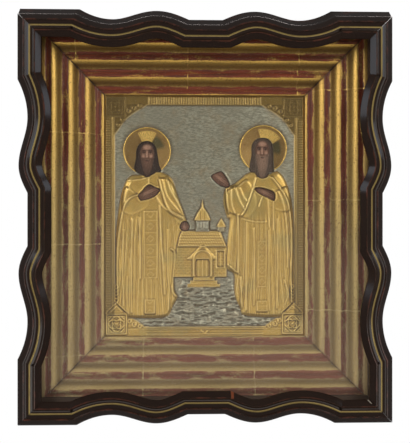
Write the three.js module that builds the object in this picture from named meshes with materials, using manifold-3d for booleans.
// A small icon in a deep glazed wall case. A dark wooden frame with a wavy outline stands proud of a plain
// box. Behind its glass a gilded stepped moulding falls to the icon, a wooden board under an embossed metal
// cover. Two robed figures with halos offer a church between them. Openings in the cover show the painted
// heads and hands.
// Units are millimetres. The model is drawn in front view, x to the right, y up and z out from the wall, and
// the last group turns it so that +Z is up and the front looks along -Y. The origin is the middle of the back.
import * as THREE from "three";
import { mergeVertices } from "three/addons/utils/BufferGeometryUtils.js";
import Module from "manifold-3d";

const wasm = await Module();
wasm.setup();

// Clearances
const FIT_GAP = 0.3;
const MITRE_GAP = 0.22;

// Icon board and its metal cover
const BOARD_WIDTH = 222;
const BOARD_HEIGHT = 265;
const BOARD_THICKNESS = 22;
const LIP_OVERLAP = 3;
const COVER_MARGIN = 0.5;
const COVER_SHEET = 1.2;

// Case: four mitred boards, rebated at the front for the glass and at the rear for the back board
const CASE_WALL = 9.5;
const REBATE = 5;
const BACK_THICKNESS = 6;
const GLASS_THICKNESS = 3;

// Gilded moulding, from the case wall down to the sight edge. The top and bottom lengths are cut narrower.
const GILT_WIDTH = 62;
const GILT_TRIM = 3;
const GILT_LIP = 5;
const GILT_RISE = 26;
const STEP_PITCH = 16.75;
const STEP_SWELL = 1.9;
const STEP_POINTS = 5;

// Wavy front frame, set a little low on the case. The top rail also slopes back and up behind its front edge.
const SIDE_OVERHANG = 12.2;
const END_OVERHANG = 11.3;
const FRAME_DROP = 4;
const FRAME_DEPTH = 26;
const FRAME_FACE = 25.4;
const OUTER_SIDE = 11;
const BEAD_INSET = 7.6;
const STRIPE_INSET = 13;
const STRIPE_WIDTH = 1.8;
const RIDGE_INSET = 19.5;
const SLOPE_DROP = 6;
const UNDERCUT = 4;
const TOP_SLOPE = 7.3;
const TOP_STOP = 0.8;
const WAVE_DEPTH = 10;
const CREST_DEPTH = 1;
const BLOCK_ACROSS = 60;
const BLOCK_UPRIGHT = 67;
const FLAT_ACROSS = 19;
const FLAT_UPRIGHT = 27;
const DIP_SHARE = 0.73;
const HUMP_SHARE = 0.385;
const DIP_POINTS = 4;
const SWING_POINTS = 5;

// Relief on the cover
const FIGURE_HEIGHT = 191.5;
const SPREAD_SHARE = 0.287;
const HEM_SHARE = 0.4286;
const ROBE_HEIGHT = 2.8;
const SLEEVE_HEIGHT = 3.8;
const BAND_HEIGHT = 3.4;
const FOLD_HEIGHT = 1.1;
const FOLD_WIDTH = 3.4;
const FOLDS = 6;
const EDGE_BEVEL = 0.8;
const SINK = 0.6;
const BORDER_SIDE = 9;
const BORDER_TOP = 11.5;
const BORDER_HEIGHT = 1;
const FLUTE_PITCH = 4.2;
const CORNER_SQUARE = 22;
const CORNER_HEIGHT = 1.5;
const CHURCH_WIDTH = 50;
const CHURCH_WALL = 33;
const CHURCH_ROOF = 17;
const CHURCH_BASE = -66;
const CHURCH_HEIGHT = 1.8;
const DRUM_WIDTH = 13;
const DRUM_HEIGHT = 12;
const DOME_WIDTH = 19;
const DOME_HEIGHT = 19;
const TURRET_PLACE = 15;
const TURRET_WIDTH = 8;
const TURRET_HEIGHT = 6;
const DOOR_WIDTH = 17;
const DOOR_SPRING = 18;
const DOOR_FRAME = 3;
const DOOR_FLOOR = 0.8;
const STEP_TREAD = 4;
const STEP_SPREAD = 3;
const GROUND_HEIGHT = 1.3;
const HALO_RADIUS = 25.6;
const HALO_BEAD = 1.1;
const HALO_RISE = 2.8;
const HALO_BORE = 4;
const HALO_EDGE = 0.6;
const NECK_WIDTH = 24;
const NECK_BELOW = 12;
const CUT_HEIGHT = 14;

// What follows from them
const sightWidth = BOARD_WIDTH - 2 * LIP_OVERLAP;
const sightHeight = BOARD_HEIGHT - 2 * LIP_OVERLAP;
const giltHalf = new THREE.Vector2(sightWidth / 2 + GILT_WIDTH, sightHeight / 2 + GILT_WIDTH);
const giltTrimmed = new THREE.Vector2(giltHalf.x, giltHalf.y - GILT_TRIM);
const caseHalf = giltTrimmed.clone().addScalar(FIT_GAP + CASE_WALL);
const frameHalf = caseHalf.clone().add(new THREE.Vector2(SIDE_OVERHANG, END_OVERHANG));
const boardBack = BACK_THICKNESS + FIT_GAP;
const coverBack = boardBack + BOARD_THICKNESS + FIT_GAP;
const giltBack = coverBack + COVER_SHEET + FIT_GAP;
const glassBack = giltBack + GILT_LIP + GILT_RISE;
const caseFront = glassBack + GLASS_THICKNESS + FIT_GAP;
const frameFront = caseFront + FRAME_DEPTH;
const figureSpread = SPREAD_SHARE * sightWidth;
const hemLevel = -HEM_SHARE * sightHeight;

const paint = {
  dark: new THREE.MeshStandardMaterial({ color: "#241611", roughness: 0.25, metalness: 0 }),
  gilt: new THREE.MeshStandardMaterial({ color: "#b08a3c", roughness: 0.35, metalness: 0.9 }),
  caseWood: new THREE.MeshStandardMaterial({ color: "#3a2416", roughness: 0.6, metalness: 0 }),
  backWood: new THREE.MeshStandardMaterial({ color: "#8a6a45", roughness: 0.8, metalness: 0 }),
  glass: new THREE.MeshStandardMaterial({ color: "#f2f5f3", roughness: 0.05, transparent: true, opacity: 0.3 }),
  board: new THREE.MeshStandardMaterial({ color: "#4a2c22", roughness: 0.5, metalness: 0 }),
  cover: new THREE.MeshStandardMaterial({ color: "#b8924c", roughness: 0.4, metalness: 0.9 }),
  halo: new THREE.MeshStandardMaterial({ color: "#d2a33f", roughness: 0.2, metalness: 1 }),
};

const point = (x, y) => new THREE.Vector2(x, y);

// Turns a three.js geometry into a solid that can be joined and cut.
function solidFrom(geometry) {
  const bare = geometry.clone();
  bare.deleteAttribute("normal");
  bare.deleteAttribute("uv");
  const merged = mergeVertices(bare, 1e-4);
  const vertProperties = merged.attributes.position.array;
  return new wasm.Manifold(new wasm.Mesh({ numProp: 3, vertProperties, triVerts: new Uint32Array(merged.index.array) }));
}

// Turns a joined or cut solid back into a three.js geometry.
function geometryFrom(solid) {
  const mesh = solid.getMesh();
  const geometry = new THREE.BufferGeometry();
  geometry.setAttribute("position", new THREE.BufferAttribute(mesh.vertProperties, 3));
  geometry.setIndex(new THREE.BufferAttribute(mesh.triVerts, 1));
  geometry.computeVertexNormals();
  return geometry;
}

function named(name, geometry, material) {
  const mesh = new THREE.Mesh(geometry, material);
  mesh.name = name;
  return mesh;
}

// A closed solid through rings of points. Each ring is the profile at one place, and the profile, which runs
// counter-clockwise, also gives the triangles of the two end caps.
function loft(profile, rings) {
  const count = profile.length;
  const positions = rings.flat().flatMap((p) => [p.x, p.y, p.z]);
  const indices = [];
  for (let ring = 0; ring + 1 < rings.length; ring++) {
    for (let i = 0; i < count; i++) {
      const a = ring * count + i;
      const b = ring * count + ((i + 1) % count);
      indices.push(a, a + count, b, b, a + count, b + count);
    }
  }
  const last = (rings.length - 1) * count;
  for (const [a, b, c] of THREE.ShapeUtils.triangulateShape(profile, [])) {
    indices.push(a, b, c, last + a, last + c, last + b);
  }
  const geometry = new THREE.BufferGeometry();
  geometry.setAttribute("position", new THREE.Float32BufferAttribute(positions, 3));
  geometry.setIndex(indices);
  geometry.computeVertexNormals();
  return geometry;
}

// Four mitred lengths round a rectangle, named top, right, bottom and left. The profile holds the distance in
// from the rectangle's edge and the distance from the wall. Each length is drawn as the top one and turned.
function mitredSet(names, half, profile, material, outlineOf) {
  return names.map((name, turn) => {
    const along = turn % 2 ? half.y : half.x;
    const across = turn % 2 ? half.x : half.y;
    const ends = [-1, 1].map((side) =>
      profile.map((p) => new THREE.Vector3(side * (along - p.x - MITRE_GAP), across - p.x, p.y)),
    );
    const between = outlineOf ? offsetRings(outlineOf(along, turn % 2 === 1), across, profile) : [];
    const mesh = named(name, loft(profile, [ends[0], ...between, ends[1]]), material);
    mesh.rotation.z = (-turn * Math.PI) / 2;
    return mesh;
  });
}

// The profile at each point of a bent outline, set square to it, with the mitre's stretch at the bends.
function offsetRings(outline, across, profile) {
  const rings = [];
  for (let i = 1; i + 1 < outline.length; i++) {
    const before = outline[i].clone().sub(outline[i - 1]).normalize();
    const after = outline[i + 1].clone().sub(outline[i]).normalize();
    const along = before.clone().add(after).normalize();
    const inward = point(along.y, -along.x).divideScalar(along.dot(after));
    rings.push(
      profile.map((p) => new THREE.Vector3(outline[i].x + inward.x * p.x, across + outline[i].y + inward.y * p.x, p.y)),
    );
  }
  return rings;
}

// Points of one stretch of the wave, from one place along the side to another, at the depths that a formula
// gives for each share of the way.
function stretch(from, to, count, depthAt) {
  return Array.from({ length: count }, (_, i) => point(from + ((to - from) * i) / count, -depthAt(i / count)));
}

// The wavy outline of one side: flat dip in the middle, a hump, a dip and a straight corner block each way.
function wavyOutline(half, upright) {
  const block = half - (upright ? BLOCK_UPRIGHT : BLOCK_ACROSS);
  const flat = upright ? FLAT_UPRIGHT : FLAT_ACROSS;
  const hump = block * HUMP_SHARE;
  const dip = block * DIP_SHARE;
  const swing = WAVE_DEPTH - CREST_DEPTH;
  const oneHalf = [
    ...stretch(flat, hump, SWING_POINTS, (share) => WAVE_DEPTH - swing * Math.sin((share * Math.PI) / 2)),
    ...stretch(hump, dip, SWING_POINTS, (share) => CREST_DEPTH + (swing * (1 - Math.cos(share * Math.PI))) / 2),
    ...stretch(dip, block, DIP_POINTS, (share) => WAVE_DEPTH * (1 - share * share)),
    point(block, 0),
    point(half, 0),
  ];
  const otherHalf = oneHalf.map((p) => point(-p.x, p.y)).reverse();
  return [...otherHalf, ...oneHalf];
}

// Profile of the dark frame: upright side, bevel, bead, hollow, painted stripe, ridge, inner slope and undercut.
function frameProfile() {
  const stripeEnd = STRIPE_INSET + STRIPE_WIDTH;
  return [
    point(0, caseFront),
    point(0, caseFront + OUTER_SIDE),
    point(1.2, caseFront + OUTER_SIDE + 3.4),
    point(BEAD_INSET - 1, frameFront - 5.6),
    point(BEAD_INSET, frameFront - 4.2),
    point(BEAD_INSET + 1, frameFront - 4.6),
    point(STRIPE_INSET, frameFront - 2.6),
    point(stripeEnd, frameFront - 2),
    point(RIDGE_INSET - 1.6, frameFront - 1.2),
    point(RIDGE_INSET, frameFront),
    point(RIDGE_INSET + 0.8, frameFront - 1),
    point(FRAME_FACE, frameFront - SLOPE_DROP),
    point(FRAME_FACE - UNDERCUT, frameFront - SLOPE_DROP - UNDERCUT),
    point(FRAME_FACE - UNDERCUT, caseFront),
  ].reverse();
}

// The top rail with the slope behind its front edge, which ends square above the stiles.
function slopedTopRail(rail) {
  const slope = [point(-TOP_SLOPE, caseFront), point(1, caseFront), point(1, caseFront + OUTER_SIDE)];
  const outline = wavyOutline(frameHalf.x, false);
  const ends = [-1, 1].map((side) => {
    return slope.map((p) => new THREE.Vector3(side * (frameHalf.x - TOP_STOP), frameHalf.y - p.x, p.y));
  });
  const strip = loft(slope, [ends[0], ...offsetRings(outline, frameHalf.y, slope), ends[1]]);
  rail.geometry = geometryFrom(solidFrom(rail.geometry).add(solidFrom(strip)));
  return rail;
}

// Profile of a case board, with its rebates at the wall side and the glass side.
function caseProfile() {
  const glassSeat = glassBack - FIT_GAP;
  return [
    point(0, 0),
    point(0, caseFront),
    point(CASE_WALL - REBATE, caseFront),
    point(CASE_WALL - REBATE, glassSeat),
    point(CASE_WALL, glassSeat),
    point(CASE_WALL, boardBack),
    point(CASE_WALL - REBATE, boardBack),
    point(CASE_WALL - REBATE, 0),
  ].reverse();
}

// Front of the gilded moulding over its back, a distance out from the sight edge.
function giltFront(out) {
  const swell = STEP_SWELL * (1 - Math.cos((2 * Math.PI * out) / STEP_PITCH));
  return GILT_LIP + (GILT_RISE * out) / GILT_WIDTH - swell;
}

function giltProfile() {
  const count = Math.round((GILT_WIDTH / STEP_PITCH) * STEP_POINTS);
  const front = Array.from({ length: count + 1 }, (_, i) => {
    const out = (GILT_WIDTH * i) / count;
    return point(GILT_WIDTH - out, giltBack + giltFront(out));
  });
  return [point(0, giltBack), point(GILT_WIDTH, giltBack), ...front];
}

// The gilded lengths, trimmed at the top and bottom to the case.
function giltLengths() {
  const names = ["gilt_top_moulding", "gilt_right_moulding", "gilt_bottom_moulding", "gilt_left_moulding"];
  const lengths = mitredSet(names, giltHalf, giltProfile(), paint.gilt);
  const room = giltTrimmed.clone();
  for (const length of lengths) {
    const across = length.rotation.z % Math.PI === 0;
    const box = across ? room : point(room.y, room.x);
    const keep = new THREE.BoxGeometry(2 * box.x, 2 * box.y, 4 * frameFront);
    length.geometry = geometryFrom(solidFrom(length.geometry).intersect(solidFrom(keep)));
  }
  return lengths;
}

function slab(name, halfWidth, halfHeight, back, thickness, material) {
  const mesh = named(name, new THREE.BoxGeometry(2 * halfWidth, 2 * halfHeight, thickness), material);
  mesh.position.z = back + thickness / 2;
  return mesh;
}

// The relief is drawn on the sheet: x and y in front view, z up from the back of the sheet. A raised patch has
// bevelled edges and starts a little inside the sheet.
function raised(shape, height, bevel = EDGE_BEVEL) {
  const bed = COVER_SHEET - SINK;
  const geometry = new THREE.ExtrudeGeometry(shape, {
    depth: SINK + height - bevel,
    bevelEnabled: true,
    bevelThickness: bevel,
    bevelSize: bevel,
    bevelOffset: -bevel,
    bevelSegments: 1,
    curveSegments: 5,
  });
  const below = new THREE.BoxGeometry(2 * BOARD_WIDTH, 2 * BOARD_HEIGHT, 2 * bed);
  return solidFrom(geometry.translate(0, 0, bed)).subtract(solidFrom(below));
}

function prism(points, low, high) {
  const geometry = new THREE.ExtrudeGeometry(new THREE.Shape(points), { depth: high - low, bevelEnabled: false });
  return solidFrom(geometry.translate(0, 0, low));
}

function rectangle(left, bottom, right, top) {
  return new THREE.Shape([point(left, bottom), point(right, bottom), point(right, top), point(left, top)]);
}

function smoothPoints(points, steps) {
  const curve = new THREE.CatmullRomCurve3(points.map((p) => new THREE.Vector3(p.x, p.y, 0)), true, "centripetal");
  return curve.getPoints(steps).slice(0, -1).map((p) => point(p.x, p.y));
}

// The same outline moved outwards, square to itself.
function grown(outline, amount) {
  return outline.map((p, i) => {
    const before = outline[(i + outline.length - 1) % outline.length];
    const after = outline[(i + 1) % outline.length];
    const along = after.clone().sub(before).normalize();
    return point(p.x + along.y * amount, p.y - along.x * amount);
  });
}

// Outlines of the two robed figures, anticlockwise, in hundredths of the figure's height from the hem's middle.
const offeringFigure = {
  side: -1,
  halo: [0, 94.2],
  head: [
    [0, 100], [-3.6, 98.9], [-5.9, 95.4], [-6.3, 90], [-7.3, 84.6], [-5.8, 82.3], [-2.8, 81], [0, 79.6], [3, 81],
    [5.4, 82.6], [8, 83], [6.9, 86.4], [6, 91.5], [5.2, 96], [3.2, 98.9],
  ],
  robe: [
    [-2, 81], [-10.4, 79.5], [-14.5, 71.7], [-16.6, 61], [-17.9, 45], [-17.8, 16], [-15.1, 3.4], [0, 0], [13.4, 2.6],
    [17.7, 11], [15.3, 21], [16.8, 38], [19, 49], [23.4, 53], [21.9, 57.2], [17.6, 69], [13.4, 79.8], [4, 83],
  ],
  sleeves: [
    [[-12, 74], [-14, 62], [-9, 58.5], [0, 62.6], [1, 67.5], [-6, 70.5]],
    [[6, 78], [9, 66], [15, 56.5], [20, 52.6], [21.6, 57], [17, 69], [12.4, 78]],
  ],
  hands: [
    [
      [-5.1, 69.4], [-4.1, 67], [-2.5, 66.5], [3.1, 68.1], [6.2, 70.5], [7.4, 72.8], [4.8, 74], [1.5, 75.5],
      [-0.8, 74.3], [-2.7, 72],
    ],
    [[18.2, 51.6], [20, 49.4], [22.8, 49.6], [24, 52], [22.4, 54.8], [19.6, 54.6]],
  ],
  band: [[-2.4, 61], [-4.4, 5], [4, 4], [3.2, 61]],
  folds: { top: [-13, 12], topLevel: 56, bottom: [-14.5, 15], bottomLevel: 5 },
};
const speakingFigure = {
  side: 1,
  halo: [0.5, 95.6],
  head: [
    [0.2, 102], [-3.6, 101], [-6, 97.6], [-6.2, 91.6], [-7.3, 86.4], [-7, 83.2], [-4.4, 82.2], [-2.8, 80], [0, 79],
    [2.8, 80], [4.2, 82.4], [6.6, 83.2], [6.4, 88], [6.3, 94], [5.8, 98.4], [3.6, 101.2],
  ],
  robe: [
    [2, 81], [-6.6, 82.6], [-15.6, 76], [-20.3, 74], [-22, 66.5], [-20, 57.6], [-18.4, 55], [-19.6, 44], [-20.2, 29],
    [-16, 25], [-15.6, 14], [-11.3, 2.6], [0, 0.6], [11, 1.6], [17.5, 9], [18.1, 37], [17.7, 55], [15.6, 71], [9.8, 82.4],
  ],
  sleeves: [
    [[-8, 78], [-14, 75], [-19.4, 72.4], [-20.6, 67], [-18.6, 60], [-8, 57.5], [-3, 66]],
    [[14, 74], [8, 72], [1.6, 72], [1.8, 66.4], [8, 61], [15.6, 61.5]],
  ],
  hands: [
    [[-28.7, 80.6], [-27.9, 78.4], [-24, 75], [-19.3, 73.9], [-18.4, 76.3], [-21.9, 82.3], [-24.9, 82.7]],
    [[-3.9, 73.7], [-3.1, 71.2], [2.5, 68.2], [6.8, 66.5], [6.8, 71.2], [0.8, 73.7]],
  ],
  band: [[-5, 60], [-4, 4], [4, 4], [2, 60]],
  folds: { top: [-16, 14], topLevel: 54, bottom: [-11, 15], bottomLevel: 5 },
};

function onSheet(figure, points) {
  const share = FIGURE_HEIGHT / 100;
  return points.map(([x, y]) => point(figure.side * figureSpread + x * share, hemLevel + y * share));
}

// A fold is a ridge of three-sided section that swells from nothing and sinks again between two points.
function fold(from, to, base, bend) {
  const steps = 6;
  const section = [point(-1, -0.6), point(1, -0.6), point(0, 1)];
  const along = to.clone().sub(from).normalize();
  const rings = Array.from({ length: steps + 1 }, (_, i) => {
    const share = i / steps;
    const bow = Math.sin(Math.PI * share);
    const swell = 0.25 + 0.75 * bow;
    const centre = from.clone().lerp(to, share).add(point(-along.y, along.x).multiplyScalar(bend * bow));
    return section.map((p) => {
      const side = (p.x * FOLD_WIDTH * swell) / 2;
      return new THREE.Vector3(centre.x - along.y * side, centre.y + along.x * side, base + p.y * FOLD_HEIGHT * swell);
    });
  });
  const solid = solidFrom(loft(section, rings.reverse()));
  return solid;
}

function figureSolids(figure) {
  const robe = new THREE.Shape(smoothPoints(onSheet(figure, figure.robe), 40));
  const sleeves = figure.sleeves.map((sleeve) => new THREE.Shape(smoothPoints(onSheet(figure, sleeve), 14)));
  const { top, topLevel, bottom, bottomLevel } = figure.folds;
  const folds = Array.from({ length: FOLDS }, (_, i) => {
    const share = i / (FOLDS - 1);
    const [from, to] = onSheet(figure, [
      [top[0] + (top[1] - top[0]) * share, topLevel],
      [bottom[0] + (bottom[1] - bottom[0]) * share, bottomLevel],
    ]);
    return fold(from, to, COVER_SHEET + ROBE_HEIGHT, (share - 0.5) * 4);
  });
  const band = new THREE.Shape(onSheet(figure, figure.band).reverse());
  const patches = [raised(robe, ROBE_HEIGHT), raised(band, BAND_HEIGHT, 0.4)];
  return [...patches, ...sleeves.map((sleeve) => raised(sleeve, SLEEVE_HEIGHT)), ...folds];
}

// An arched opening over the church's base line, its half width and the level of its springing given.
function archShape(half, foot, springing) {
  const shape = new THREE.Shape();
  shape.moveTo(half, foot);
  shape.lineTo(half, springing);
  shape.absarc(0, springing, half, 0, Math.PI, false);
  shape.lineTo(-half, foot);
  return shape;
}

// A small church front: wall with an arched doorway, hipped roof, drum and dome, and a side turret.
function churchSolids() {
  const half = CHURCH_WIDTH / 2;
  const eaves = CHURCH_BASE + CHURCH_WALL;
  const ridge = eaves + CHURCH_ROOF;
  const drumTop = ridge + DRUM_HEIGHT;
  const turretTop = ridge + TURRET_HEIGHT;
  const hip = half - CHURCH_ROOF / 2;
  const roof = new THREE.Shape([point(-half - 1, eaves), point(half + 1, eaves), point(hip, ridge), point(-hip, ridge)]);
  const tentOver = (middle, width, foot, height) =>
    new THREE.Shape([point(middle - width / 2, foot), point(middle + width / 2, foot), point(middle, foot + height)]);
  const steps = [0, 1, 2].map((i) => {
    const reach = DOOR_WIDTH / 2 + STEP_SPREAD * (i + 1);
    const top = CHURCH_BASE - STEP_TREAD * i;
    return raised(rectangle(-reach, top - STEP_TREAD, reach, top), CHURCH_HEIGHT - 0.3 * i, 0.4);
  });
  const lower = CHURCH_HEIGHT - 0.6;
  const turretHalf = TURRET_WIDTH / 2;
  return [
    raised(rectangle(-half, CHURCH_BASE, half, eaves), CHURCH_HEIGHT),
    raised(roof, CHURCH_HEIGHT + 0.5),
    raised(archShape(DOOR_WIDTH / 2 + DOOR_FRAME, CHURCH_BASE, CHURCH_BASE + DOOR_SPRING), CHURCH_HEIGHT + 0.7, 0.5),
    raised(rectangle(-DRUM_WIDTH / 2, ridge - 1, DRUM_WIDTH / 2, drumTop), CHURCH_HEIGHT),
    raised(tentOver(0, DOME_WIDTH, drumTop - 1, DOME_HEIGHT + 1), CHURCH_HEIGHT + 0.4),
    raised(rectangle(TURRET_PLACE - turretHalf, ridge - 1, TURRET_PLACE + turretHalf, turretTop), lower, 0.5),
    raised(tentOver(TURRET_PLACE, TURRET_WIDTH + 3, turretTop - 1, TURRET_WIDTH + 3), lower, 0.5),
    ...steps,
  ];
}

function doorway() {
  const shape = archShape(DOOR_WIDTH / 2, CHURCH_BASE + 1, CHURCH_BASE + DOOR_SPRING);
  return prism(shape.getPoints(5), COVER_SHEET + DOOR_FLOOR, COVER_SHEET + 2 * CHURCH_HEIGHT);
}

// Rocky ground between the figures and under the church.
function groundSolid() {
  const outline = [
    [-20, -69], [-30, -92], [-46, -108], [-66, -113], [-58, -118], [0, -119.5], [58, -118], [68, -112], [44, -107], [33, -84], [30, -62],
    [20, -70], [0, -76],
  ];
  return raised(new THREE.Shape(smoothPoints(outline.map(([x, y]) => point(x, y)), 30)), GROUND_HEIGHT, 0.5);
}

// Upright flutes along the top strip between the corner brackets.
function fluteSolids(top, halfLength) {
  const count = Math.floor((2 * halfLength) / FLUTE_PITCH);
  return Array.from({ length: count }, (_, i) => {
    const x = (i - (count - 1) / 2) * FLUTE_PITCH;
    const half = FLUTE_PITCH / 4;
    return prism([point(x - half, top - 8), point(x + half, top - 8), point(x + half, top - 2), point(x - half, top - 2)],
      COVER_SHEET - SINK, COVER_SHEET + BORDER_HEIGHT + 0.5);
  });
}

// Raised border with a square in each corner, a diamond in each square and a gable over each lower square.
function borderSolids() {
  const edgeX = sightWidth / 2 - 1;
  const edgeY = sightHeight / 2 - 1;
  const ring = rectangle(-edgeX, -edgeY, edgeX, edgeY);
  ring.holes.push(
    new THREE.Path([
      point(BORDER_SIDE - edgeX, BORDER_TOP - edgeY),
      point(BORDER_SIDE - edgeX, edgeY - BORDER_TOP),
      point(edgeX - BORDER_SIDE, edgeY - BORDER_TOP),
      point(edgeX - BORDER_SIDE, BORDER_TOP - edgeY),
    ]),
  );
  const solids = [raised(ring, BORDER_HEIGHT, 0.5), ...fluteSolids(edgeY - 1, edgeX - 2 * CORNER_SQUARE - 1)];
  const size = CORNER_SQUARE;
  for (const sideX of [-1, 1]) {
    for (const sideY of [-1, 1]) {
      const x = sideX * (edgeX - size / 2);
      const y = sideY * (edgeY - size / 2);
      const inner = size / 2 - 4;
      const diamond = [point(x + inner, y), point(x, y + inner), point(x - inner, y), point(x, y - inner)];
      solids.push(raised(rectangle(x - size / 2, y - size / 2, x + size / 2, y + size / 2), CORNER_HEIGHT));
      solids.push(raised(new THREE.Shape(diamond), CORNER_HEIGHT + 0.7, 0.6));
      const gable = [point(x - size / 2, y + size / 2 - 1), point(x + size / 2, y + size / 2 - 1), point(x, y + size)];
      if (sideY < 0) solids.push(raised(new THREE.Shape(gable), CORNER_HEIGHT, 0.5));
      const reach = sideX * (edgeX - 2 * size);
      const corner = [point(x, y), point(reach, sideY * edgeY), point(reach, y), point(x, sideY * (edgeY - 2 * size))];
      const fan = sideX * sideY > 0 ? corner : corner.reverse();
      if (sideY > 0) solids.push(raised(new THREE.Shape(smoothPoints(fan, 10)), BORDER_HEIGHT, 0.4));
    }
  }
  return solids;
}

function openings(figure) {
  const outlines = [figure.head, ...figure.hands].map((outline) => smoothPoints(onSheet(figure, outline), 18));
  return outlines.map((outline) => prism(outline, -1, COVER_SHEET + CUT_HEIGHT));
}

function haloCentre(figure) {
  return onSheet(figure, [figure.halo])[0];
}

// The round seat of a halo, which keeps the sheet flat under it.
function haloSeat(figure) {
  const centre = haloCentre(figure);
  const seat = new THREE.CylinderGeometry(HALO_RADIUS + FIT_GAP, HALO_RADIUS + FIT_GAP, CUT_HEIGHT, 40).rotateX(Math.PI / 2);
  return solidFrom(seat).translate([centre.x, centre.y, COVER_SHEET + CUT_HEIGHT / 2]);
}

function coverGeometry() {
  const half = point(BOARD_WIDTH / 2 - COVER_MARGIN, BOARD_HEIGHT / 2 - COVER_MARGIN);
  const sheet = prism(rectangle(-half.x, -half.y, half.x, half.y).getPoints(), 0, COVER_SHEET);
  const figures = [offeringFigure, speakingFigure];
  let cover = sheet;
  for (const part of [...borderSolids(), groundSolid(), ...churchSolids()]) cover = cover.add(part);
  for (const part of [doorway(), ...figures.map(haloSeat)]) cover = cover.subtract(part);
  for (const part of figures.flatMap(figureSolids)) cover = cover.add(part);
  for (const part of figures.flatMap(openings)) cover = cover.subtract(part);
  return geometryFrom(cover);
}

// A halo is a dished ring with a beaded rim, cut back where the head and the shoulders come in front of it.
function haloGeometry(figure) {
  const low = COVER_SHEET + FIT_GAP;
  const dish = [0, 1].map((share) => {
    const radius = HALO_BORE + (HALO_RADIUS - 2 * HALO_BEAD - HALO_BORE) * share;
    return point(radius, low + HALO_EDGE + (HALO_RISE - HALO_EDGE) * share);
  });
  const bead = [135, 90, 45, 0].map((degrees) => {
    const angle = THREE.MathUtils.degToRad(degrees);
    const radius = HALO_RADIUS - HALO_BEAD + HALO_BEAD * Math.cos(angle);
    return point(radius, low + HALO_RISE + HALO_BEAD * Math.sin(angle));
  });
  const profile = [point(HALO_BORE, low), ...dish, ...bead, point(HALO_RADIUS, low), point(HALO_BORE, low)];
  const disc = new THREE.LatheGeometry(profile.reverse(), 40).rotateX(Math.PI / 2);
  const { x, y } = haloCentre(figure);
  const solid = solidFrom(disc).translate([x, y, 0]);
  const top = COVER_SHEET + CUT_HEIGHT;
  const robe = prism(grown(smoothPoints(onSheet(figure, figure.robe), 40), FIT_GAP + 0.2), -1, top);
  const head = prism(smoothPoints(onSheet(figure, figure.head), 18), -1, top);
  const neck = rectangle(x - NECK_WIDTH / 2, y - 2 * HALO_RADIUS, x + NECK_WIDTH / 2, y - NECK_BELOW);
  return geometryFrom(solid.subtract(robe).subtract(head).subtract(prism(neck.getPoints(), -1, top)));
}

function iconGroup() {
  const group = new THREE.Group();
  group.add(slab("icon_board", BOARD_WIDTH / 2, BOARD_HEIGHT / 2, boardBack, BOARD_THICKNESS, paint.board));
  const sheetwork = new THREE.Group();
  sheetwork.add(named("metal_cover", coverGeometry(), paint.cover));
  sheetwork.add(named("halo_left", haloGeometry(offeringFigure), paint.halo));
  sheetwork.add(named("halo_right", haloGeometry(speakingFigure), paint.halo));
  sheetwork.position.z = coverBack;
  group.add(sheetwork);
  return group;
}

function caseGroup() {
  const group = new THREE.Group();
  const names = ["case_top_board", "case_right_board", "case_bottom_board", "case_left_board"];
  const seat = caseHalf.clone().addScalar(REBATE - CASE_WALL - FIT_GAP);
  group.add(...mitredSet(names, caseHalf, caseProfile(), paint.caseWood));
  group.add(slab("back_board", seat.x, seat.y, 0, BACK_THICKNESS, paint.backWood));
  group.add(slab("glass_pane", seat.x, seat.y, glassBack, GLASS_THICKNESS, paint.glass));
  return group;
}

function frameLengths() {
  const names = ["frame_top_rail", "frame_right_stile", "frame_bottom_rail", "frame_left_stile"];
  const [topRail, ...others] = mitredSet(names, frameHalf, frameProfile(), paint.dark, wavyOutline);
  return [slopedTopRail(topRail), ...others];
}

const front = new THREE.Group();
const frame = new THREE.Group();
frame.position.y = -FRAME_DROP;
frame.add(...frameLengths());
front.add(frame);
front.add(...giltLengths());
front.add(caseGroup());
front.add(iconGroup());
front.rotation.x = Math.PI / 2;

const iconCase = new THREE.Group();
iconCase.add(front);

export default iconCase;
